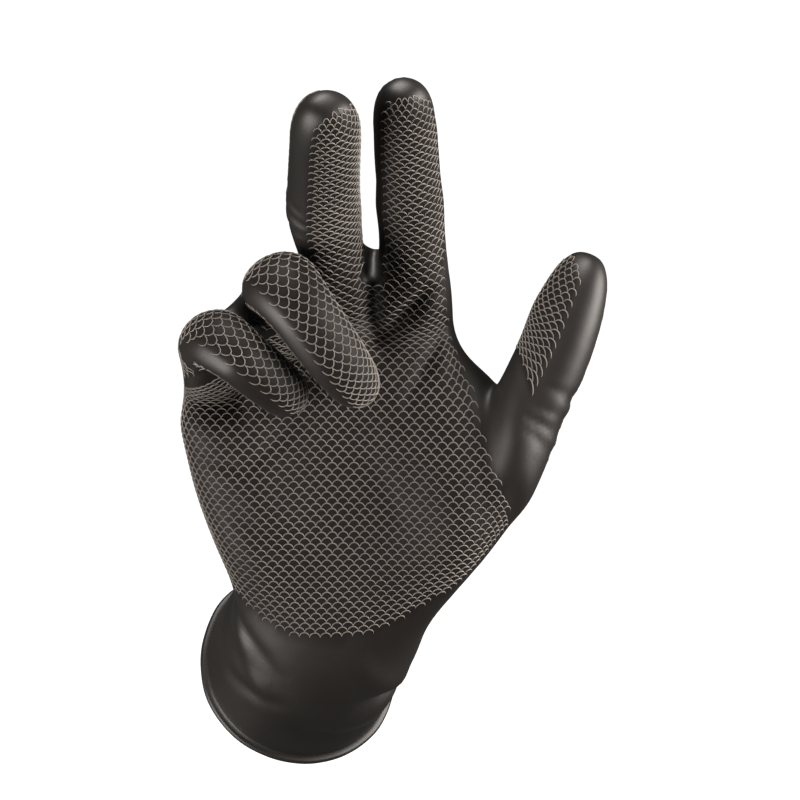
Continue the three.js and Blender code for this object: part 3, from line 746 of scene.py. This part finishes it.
class Skin:
    """The outer face of the film as arrays: points in millimetres in the hand's own frame,
    faces, their parts, and the flat places of their corners."""

    def __init__(self, cage):
        mesh = bpy.data.meshes.new("cage")
        mesh.from_pydata([tuple(p) for p in cage.points], [], cage.faces)
        mesh.attributes.new("part", "INT", "FACE").data.foreach_set("value", cage.parts)
        for layer in LAYERS:
            flat = mesh.uv_layers.new(name=layer)
            flat.data.foreach_set("uv", np.array(cage.flats[layer], np.float32).ravel())
        holder = show("cage", mesh)
        rounding = holder.modifiers.new("rounding", "SUBSURF")
        rounding.levels = rounding.render_levels = SKIN_LEVELS
        rounding.use_limit_surface = True
        rounding.uv_smooth = "PRESERVE_BOUNDARIES"
        depsgraph = bpy.context.evaluated_depsgraph_get()
        fine = bpy.data.meshes.new_from_object(holder.evaluated_get(depsgraph))
        self.points = read(fine.vertices, "co", 3, float)
        self.faces = read(fine.loops, "vertex_index", 1, int).reshape(-1, 4)
        self.parts = read(fine.attributes["part"].data, "value", 1, int).ravel()
        self.flats = {}
        for layer in LAYERS:
            flat = read(fine.uv_layers[layer].data, "uv", 2, np.float32)
            self.flats[layer] = flat.reshape(-1, 4, 2).astype(float)
        bpy.data.objects.remove(holder)
        bpy.data.meshes.remove(mesh)
        bpy.data.meshes.remove(fine)
        self.point_parts = np.zeros(len(self.points), int)
        for corner in range(4):
            self.point_parts[self.faces[:, corner]] = self.parts
        self.set_normals()

    def face_normals(self):
        """The direction of each face, as long as twice its area."""
        a, b, c, d = (self.points[self.faces[:, i]] for i in range(4))
        return np.cross(c - a, d - b)

    def set_normals(self):
        across = self.face_normals()
        self.normals = np.zeros_like(self.points)
        for corner in range(4):
            np.add.at(self.normals, self.faces[:, corner], across)
        self.normals /= np.linalg.norm(self.normals, axis=1)[:, None]

    def press(self, shift):
        """Moves every point along its normal."""
        self.points = self.points + self.normals * shift[:, None]
        self.set_normals()


def fold_shift(skin, folds):
    """How far the folds raise each point of the film, in millimetres."""
    shift = np.zeros(len(skin.points))
    for part in sorted({fold[0] for fold in folds}):
        line, length, width = LINES[part]
        own = np.flatnonzero(skin.point_parts == PARTS.index(part))
        s, angle = line.around(skin.points[own])
        for _, at, middle, reach, slant, wide, depth in (f for f in folds if f[0] == part):
            away = (angle - middle + 180) % 360 - 180
            lean = slant * np.radians(away) * width / 2
            u = (s - at * length - lean) / (wide * width)
            shift[own] += depth * width * np.exp(-u ** 2 - (away / reach) ** 4)
    return shift


def crease_shift(skin):
    """Creases of the palm, on its front only."""
    shift = np.zeros(len(skin.points))
    facing = np.clip(-skin.normals[:, 1] * 2, 0, 1) * (skin.point_parts <= PARTS.index("thenar"))
    for x0, z0, x1, z1, width, depth in PALM_CREASES:
        start = np.array([x0 * HAND_WIDTH, z0 * PALM_LENGTH])
        run = np.array([x1 * HAND_WIDTH, z1 * PALM_LENGTH]) - start
        offset = skin.points[:, (0, 2)] - start
        share = offset @ run / (run @ run)
        aside = np.linalg.norm(offset - np.clip(share, 0, 1)[:, None] * run, axis=1)
        fade = np.clip(1 - (2 * share - 1) ** 4, 0, 1)
        shift += depth * fade * np.exp(-(aside / width) ** 2)
    return shift * facing


# The sag's broad and fine waves: their size and height in millimetres
BROAD_SIZE, BROAD_HEIGHT = 13, 0.16
FINE_SIZE, FINE_HEIGHT = 5, 0.05
FINE_START = Vector((7, 3, 5))


def sag_shift(skin):
    """The soft unevenness of a film that doesn't lie tight on the hand everywhere."""
    return np.array([BROAD_HEIGHT * noise.noise(Vector(point / BROAD_SIZE))
                     + FINE_HEIGHT * noise.noise(Vector(point / FINE_SIZE) + FINE_START)
                     for point in skin.points])


def show(name, data):
    """A new thing in the scene."""
    thing = bpy.data.objects.new(name, data)
    bpy.context.scene.collection.objects.link(thing)
    return thing


def to_part(points):
    """From the hand's frame in millimetres to the part's frame in metres."""
    return (points - rim_point) * MM


def new_piece(name, points, faces, material):
    mesh = bpy.data.meshes.new(name)
    mesh.from_pydata(points.tolist(), [], faces)
    mesh.update()
    mesh.polygons.foreach_set("use_smooth", [True] * len(mesh.polygons))
    mesh.materials.append(material)
    piece = show(name, mesh)
    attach(piece, "root")
    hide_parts("glove")
    return piece


# The least lean that deepens the inner face at a sharp bend, and the bead's middle past the
# edge of the film and its turn, in radii and degrees
LEAST_LEAN = 0.6
BEAD_REACH = 0.9
BEAD_TURN = range(-60, 151, 15)


def film_depths(skin):
    """How far in the inner face lies, so that the film keeps its thickness at sharp bends."""
    across = skin.face_normals()
    across /= np.linalg.norm(across, axis=1)[:, None]
    least = np.ones(len(skin.points))
    for corner in range(4):
        lean = (across * skin.normals[skin.faces[:, corner]]).sum(1)
        np.minimum.at(least, skin.faces[:, corner], lean)
    return FILM / np.maximum(LEAST_LEAN, least)


def open_edges(faces):
    """Edges with one face only, each in the direction of its face."""
    edges = np.concatenate([faces[:, (i, (i + 1) % 4)] for i in range(4)])
    keys = np.sort(edges, axis=1)
    _, place, count = np.unique(keys, axis=0, return_index=True, return_counts=True)
    return edges[place[count == 1]]


def make_film(skin, material):
    """The film with its inner face, joined at the opening by the rolled bead."""
    count = len(skin.points)
    inner = skin.points - skin.normals * film_depths(skin)[:, None]
    rows = [skin.points, inner]
    edge = open_edges(skin.faces)
    rim = np.unique(edge)
    outward = skin.normals[rim]
    middle = skin.points[rim] + outward * (BEAD_RADIUS - FILM)
    middle += rim_ahead * BEAD_REACH * BEAD_RADIUS
    bands = [rim]
    for i, degrees in enumerate(BEAD_TURN):
        angle = math.radians(degrees)
        spoke = outward * math.cos(angle) + rim_ahead * math.sin(angle)
        rows.append(middle + spoke * BEAD_RADIUS)
        bands.append(2 * count + i * len(rim) + np.arange(len(rim)))
    bands = [band.tolist() for band in (*bands, rim + count)]
    faces = [*skin.faces.tolist(), *(skin.faces[:, ::-1] + count).tolist()]
    for a, b in np.searchsorted(rim, edge).tolist():
        for near, far in zip(bands, bands[1:]):
            faces.append([near[b], near[a], far[a], far[b]])
    film = new_piece("glove_film", to_part(np.concatenate(rows)), faces, material)
    grip = film.data.attributes.new("grip", "FLOAT", "POINT")
    shares = np.zeros(len(film.data.vertices))
    shares[:count] = grip_shares(skin)
    grip.data.foreach_set("value", shares)


# Height over the flat former from which its places are looked for
RAY_START = 5


class FormerMap:
    """Finds the place on the film of a point of the flat former, for one finger with the palm
    below it, or for the thumb. The finger's own faces lie over those of the palm."""

    def __init__(self, skin, layer, own_part, shared_parts=()):
        flats = skin.flats[layer]
        own = skin.parts == PARTS.index(own_part)
        shared = np.isin(skin.parts, [PARTS.index(part) for part in shared_parts])
        mapped = (flats[:, :, 0] > OFF_MAP / 2).all(1)
        picked = np.flatnonzero((own | shared) & mapped)
        self.faces = skin.faces[picked]
        heights = own[picked].astype(float)
        corners = np.concatenate([flats[picked], np.repeat(heights[:, None, None], 4, 1)], axis=2)
        self.corners = [[Vector(p) for p in face] for face in corners.tolist()]
        polygons = np.arange(len(picked) * 4).reshape(-1, 4).tolist()
        self.tree = BVHTree.FromPolygons(corners.reshape(-1, 3).tolist(), polygons)
        self.skin = skin

    def place(self, u, v):
        hit, _, index, _ = self.tree.ray_cast(Vector((u, v, RAY_START)), Vector((0, 0, -1)))
        if hit is None:
            return None
        shares = np.array(poly_3d_calc(self.corners[index], hit))
        near = self.faces[index]
        return shares @ self.skin.points[near], shares @ self.skin.normals[near]


ARC_ANGLES = np.linspace(math.pi, 0, ARC_POINTS)


def scale_arc(u, v):
    """Points of one scale's ridge on the flat former: an arch that stands towards the tips."""
    return [(u + SCALE_WIDTH / 2 * math.cos(t), v + ARC_RISE * SCALE_ROW * math.sin(t))
            for t in ARC_ANGLES]


def scale_rows(low, high, left, right):
    """Middles of the scales between the limits, every other row half a scale aside."""
    for row in range(math.ceil(low / SCALE_ROW), math.floor(high / SCALE_ROW) + 1):
        shift = 0.5 * (row % 2)
        first = math.ceil(left / SCALE_WIDTH - shift)
        last = math.floor(right / SCALE_WIDTH - shift)
        for column in range(first, last + 1):
            yield (column + shift) * SCALE_WIDTH, row * SCALE_ROW


def edge_at(layer, v):
    """How far the grip reaches towards the thumb at that height."""
    points = GRIP_EDGES[layer]
    return float(np.interp(v, [p[1] for p in points], [p[0] for p in points]))


def heel_at(u):
    """The curve where the grip ends above the cuff."""
    return HEEL_LOW + HEEL_RISE * (u / HEEL_REACH) ** 2


def root_at(u):
    """The slanted line where the grip ends below the root of the little finger."""
    return ROOT_LOW + u - LITTLE_EDGE


def on_palm(layer, u, v):
    if layer == "front" and v > root_at(u):
        return False
    return heel_at(u) < v and LITTLE_EDGE < u < edge_at(layer, v)


def on_finger(k, layer, u, v):
    """Whether the strip of grip on a finger takes in that place. It narrows from the full
    breadth at the web, and ends in a round below the smooth tip."""
    finger, (turn, span, folded) = fingers[k], FINGER_GRIPS[k]
    angle = (u - finger.x) / finger.quarter * 90
    grown = min((v - finger.z - WEB_DISTANCE) / (0.5 * FINGER_WIDTH), 1)
    if layer == "back":
        turn = -turn
    standing_back = layer == "back" and not folded
    if standing_back:
        span = BACK_SPAN
    away = (angle - mix(0, turn, grown)) / mix(WEB_SPAN, span, grown)
    if abs(away) > 1:
        return False
    smooth = SMOOTH_BACK_TIP if standing_back else SMOOTH_TIP
    return v < finger.z + finger.film_end - smooth - FINGER_ROUNDING * away ** 2


def on_thumb(u, v):
    away = u / THUMB_SPAN
    end = THUMB_LENGTH - SMOOTH_THUMB_TIP - THUMB_ROUNDING * away ** 2
    return abs(away) < 1 and THUMB_GRIP["low"] < v < end


def laid(former, u, v):
    """The ridge of one scale on the film, or nothing where it would leave the film or jump."""
    places = [former.place(*flat) for flat in scale_arc(u, v)]
    if None in places:
        return None
    steps = np.diff([point for point, _ in places], axis=0)
    return None if np.linalg.norm(steps, axis=1).max() > 0.5 * SCALE_WIDTH else places


def grip_shares(skin):
    """How much of the film around each point carries the grip, from 0 to 1."""
    carried = np.zeros(len(skin.faces))
    for layer in LAYERS:
        middles = skin.flats[layer].mean(1)
        for i, ((u, v), part) in enumerate(zip(middles.tolist(), skin.parts)):
            if u < OFF_MAP / 2:
                continue
            name = PARTS[part]
            if name in ("cuff", "palm", "thenar"):
                carried[i] += on_palm(layer, u, v)
            elif name == "thumb":
                carried[i] += on_thumb(u, v)
            else:
                carried[i] += on_finger(int(name[-1]), layer, u, v)
    shares, count = np.zeros(len(skin.points)), np.zeros(len(skin.points))
    for corner in range(4):
        np.add.at(shares, skin.faces[:, corner], np.minimum(carried, 1))
        np.add.at(count, skin.faces[:, corner], 1)
    return shares / count


def finger_arcs(skin, k, layer):
    """Ridges of one finger and of the stretch of the palm below it."""
    finger = fingers[k]
    former = FormerMap(skin, layer, f"finger{k}", ("palm", "cuff", "thenar"))
    left, right = FORMER_EDGES
    if k:
        left = (fingers[k - 1].x + finger.x) / 2
    if k + 1 < len(fingers):
        right = (fingers[k + 1].x + finger.x) / 2
    first, last = min(left, finger.x - STRIP_REACH), max(right, finger.x + STRIP_REACH)
    web = finger.z + WEB_DISTANCE
    palm, own = [], []
    for u, v in scale_rows(GRIP_LOW, finger.z + finger.film_end, first, last):
        if v < web:
            wanted = left <= u < right and on_palm(layer, u, v)
        else:
            wanted = on_finger(k, layer, u, v)
        places = laid(former, u, v) if wanted else None
        if places:
            (own if v >= web else palm).append(places)
    return palm, own


def thumb_arcs(skin, layer):
    former = FormerMap(skin, layer, "thumb")
    arcs = []
    for u, v in scale_rows(THUMB_GRIP["low"], THUMB_LENGTH, -THUMB_SPAN, THUMB_SPAN):
        places = laid(former, u, v) if on_thumb(u, v) else None
        if places:
            arcs.append(places)
    return arcs


def ridge_faces(count):
    """Faces of that many closed ridges, each a row of four-sided sections."""
    last = 4 * (ARC_POINTS - 1)
    faces = [(i + a, i + (a + 1) % 4, i + 4 + (a + 1) % 4, i + 4 + a)
             for i in range(0, last, 4) for a in range(4)]
    faces += [(3, 2, 1, 0), (last, last + 1, last + 2, last + 3)]
    starts = 4 * ARC_POINTS * np.arange(count)[:, None]
    return np.concatenate([starts + np.array([face]) for face in faces]).tolist()


def make_ridges(name, arcs, material):
    """The raised ridges of many scales as one piece."""
    places = np.array(arcs)
    points, normals = places[:, :, 0], places[:, :, 1]
    normals = normals / np.linalg.norm(normals, axis=2)[:, :, None]
    ahead = np.gradient(points, axis=1)
    aside = np.cross(normals, ahead)
    aside /= np.linalg.norm(aside, axis=2)[:, :, None]
    share = (LEG_SHARE + (1 - LEG_SHARE) * np.sin(ARC_ANGLES))[None, :, None]
    foot, crest, rise = RIDGE_WIDTH / 2 * share, CREST_WIDTH / 2 * share, RIDGE_HEIGHT * share
    corners = [points - aside * foot - normals * RIDGE_SINK,
               points - aside * crest + normals * rise,
               points + aside * crest + normals * rise,
               points + aside * foot - normals * RIDGE_SINK]
    rows = np.stack(corners, axis=2).reshape(-1, 3)
    new_piece(name, to_part(rows), ridge_faces(len(arcs)), material)


# How dull the film is under the grip, and the satin coat that it has elsewhere
DULL_ROUGHNESS = 0.62
COAT_ROUGHNESS = 0.52
COAT_WEIGHT = 0.55
SPECULAR_LEVEL = 0.15

# Sizes of the grain and of the patches in it, as counts along a metre
GRAIN_SIZE = 1400.0
PATCH_SIZE = 45.0
GRAIN_HEIGHT = 0.0001


def set_inputs(node, values):
    for name, value in values.items():
        node.inputs[name].default_value = value


def join(links, *rows):
    for source, output, target, socket in rows:
        links.new(source.outputs[output], target.inputs[socket])


def grain_group():
    """The fine unevenness of dipped film: a height and a patchy value over the surface."""
    group = bpy.data.node_groups.new("film_grain", "ShaderNodeTree")
    for name in ("Height", "Patches"):
        group.interface.new_socket(name, in_out="OUTPUT", socket_type="NodeSocketFloat")
    nodes, links = group.nodes, group.links
    outputs, place = nodes.new("NodeGroupOutput"), nodes.new("ShaderNodeTexCoord")
    grain, patches = nodes.new("ShaderNodeTexNoise"), nodes.new("ShaderNodeTexNoise")
    for texture, size, detail in ((grain, GRAIN_SIZE, 3), (patches, PATCH_SIZE, 4)):
        set_inputs(texture, {"Scale": size, "Detail": detail})
        join(links, (place, "Object", texture, "Vector"))
    join(links, (grain, "Fac", outputs, "Height"), (patches, "Fac", outputs, "Patches"))
    return group


def nitrile(name, grain, dark, light, gloss, bump):
    """Satin nitrile rubber between two shades, with a patchy gloss and a fine grain; the ridges
    get shades far lighter than the film's, a painted highlight for the light their crests catch.
    Where it carries the grip, it is dull and has no satin coat."""
    material = bpy.data.materials.new(name)
    material.use_nodes = True
    nodes, links = material.node_tree.nodes, material.node_tree.links
    shader = nodes["Principled BSDF"]
    film = nodes.new("ShaderNodeGroup")
    film.node_tree = grain
    shade = nodes.new("ShaderNodeMix")
    shade.data_type = "RGBA"
    set_inputs(shade, {"A": (*dark, 1), "B": (*light, 1)})
    rough = nodes.new("ShaderNodeMapRange")
    set_inputs(rough, {"From Min": 0.3, "From Max": 0.7, "To Min": gloss[0], "To Max": gloss[1]})
    relief = nodes.new("ShaderNodeBump")
    set_inputs(relief, {"Strength": bump, "Distance": GRAIN_HEIGHT})
    grip = nodes.new("ShaderNodeAttribute")
    grip.attribute_name = "grip"
    dull = nodes.new("ShaderNodeMix")
    dull.inputs["B"].default_value = DULL_ROUGHNESS
    coat = nodes.new("ShaderNodeMapRange")
    set_inputs(coat, {"To Min": COAT_WEIGHT, "To Max": 0})
    join(links,
         (film, "Patches", shade, "Factor"), (shade, "Result", shader, "Base Color"),
         (film, "Patches", rough, "Value"), (rough, "Result", dull, "A"),
         (grip, "Fac", dull, "Factor"), (dull, "Result", shader, "Roughness"),
         (grip, "Fac", coat, "Value"), (coat, "Result", shader, "Coat Weight"),
         (film, "Height", relief, "Height"), (relief, "Normal", shader, "Normal"))
    set_inputs(shader, {"Coat Roughness": COAT_ROUGHNESS, "Specular IOR Level": SPECULAR_LEVEL})
    return material


# The photograph's view: the distance, target and direction of the camera
VIEW_TARGET = (0.03276, -0.04602, 0.09628)
VIEW_DISTANCE = 0.78
VIEW_ELEVATION = 11
LENS = 118.3


def make_camera():
    data = bpy.data.cameras.new("camera")
    data.lens = LENS
    data.sensor_width = 36
    data.clip_start = 0.01
    data.clip_end = 100
    camera = show("camera", data)
    rise = math.radians(VIEW_ELEVATION)
    back = Vector((0, -math.cos(rise), math.sin(rise)))
    camera.location = Vector(VIEW_TARGET) + back * VIEW_DISTANCE
    camera.rotation_euler = (-back).to_track_quat("-Z", "Y").to_euler()
    bpy.context.scene.camera = camera


# Soft boxes: name, place and size in metres, power in watts
LIGHTS = [
    ("light_right", (0.72, -0.28, 0.2), 0.6, 20),
    ("light_left", (-0.58, -0.4, -0.16), 0.5, 10),
    ("light_top", (-0.12, -0.16, 0.95), 0.4, 11),
]
LIGHT_COLOR = (1, 0.94, 0.89)


def make_lights():
    target = Vector(VIEW_TARGET)
    for name, place, size, power in LIGHTS:
        data = bpy.data.lights.new(name, "AREA")
        data.shape = "SQUARE"
        data.size = size
        data.energy = power
        data.color = LIGHT_COLOR
        light = show(name, data)
        light.location = place
        light.rotation_euler = (target - light.location).to_track_quat("-Z", "Y").to_euler()


FLOOR_HEIGHT = -0.5
FLOOR_RADIUS = 40
FLOOR_SIDES = 64


def make_floor():
    """A plain pale floor, round and wide enough to fill the view."""
    angles = np.linspace(0, 2 * math.pi, FLOOR_SIDES, endpoint=False)
    rim = [(FLOOR_RADIUS * math.cos(a), FLOOR_RADIUS * math.sin(a), FLOOR_HEIGHT) for a in angles]
    mesh = bpy.data.meshes.new("floor")
    mesh.from_pydata(rim, [], [list(range(FLOOR_SIDES))])
    material = bpy.data.materials.new("pale_floor")
    material.use_nodes = True
    shader = material.node_tree.nodes["Principled BSDF"]
    set_inputs(shader, {"Base Color": (0.9, 0.9, 0.9, 1), "Roughness": 0.9,
                        "Emission Color": (1, 1, 1, 1), "Emission Strength": 1.05})
    mesh.materials.append(material)
    floor = show("floor", mesh)
    floor.visible_glossy = False
    floor.visible_diffuse = False


WORLD_LIGHT = 0.045


def make_world():
    """White behind the object, and a dimmer even light on it."""
    world = bpy.data.worlds.new("studio")
    world.use_nodes = True
    nodes, links = world.node_tree.nodes, world.node_tree.links
    background = nodes["Background"]
    seen = nodes.new("ShaderNodeLightPath")
    strength = nodes.new("ShaderNodeMapRange")
    set_inputs(strength, {"To Min": WORLD_LIGHT, "To Max": 1})
    set_inputs(background, {"Color": (1, 1, 1, 1)})
    join(links, (seen, "Is Camera Ray", strength, "Value"),
         (strength, "Result", background, "Strength"))
    bpy.context.scene.world = world


make_camera()
make_lights()
make_floor()
make_world()
bpy.context.scene.view_settings.view_transform = "Standard"

skin = Skin(build_cage())
skin.press(fold_shift(skin, FOLDS))
skin.press(fold_shift(skin, CREASES) + crease_shift(skin) + sag_shift(skin))

grain = grain_group()
film_rubber = nitrile("film_rubber", grain, dark=(0.004, 0.0033, 0.0029),
                      light=(0.01, 0.0086, 0.0075), gloss=(0.4, 0.52), bump=0.6)
# The ridges' shades are far lighter than the film's: a painted highlight standing in for the light
# caught on their crests.
painted_highlight_ridge_rubber = nitrile("painted_highlight_ridge_rubber", grain, dark=(0.1, 0.091, 0.082),
                       light=(0.2, 0.183, 0.166), gloss=(0.38, 0.48), bump=0.2)

make_film(skin, film_rubber)
for layer, title in (("front", "palm_side"), ("back", "back")):
    palm_ridges, finger_ridges = [], []
    for k in range(len(fingers)):
        low, high = finger_arcs(skin, k, layer)
        palm_ridges += low
        finger_ridges += high
    finger_ridges += thumb_arcs(skin, layer)
    make_ridges(f"grip_{title}_hand", palm_ridges, painted_highlight_ridge_rubber)
    make_ridges(f"grip_{title}_fingers", finger_ridges, painted_highlight_ridge_rubber)
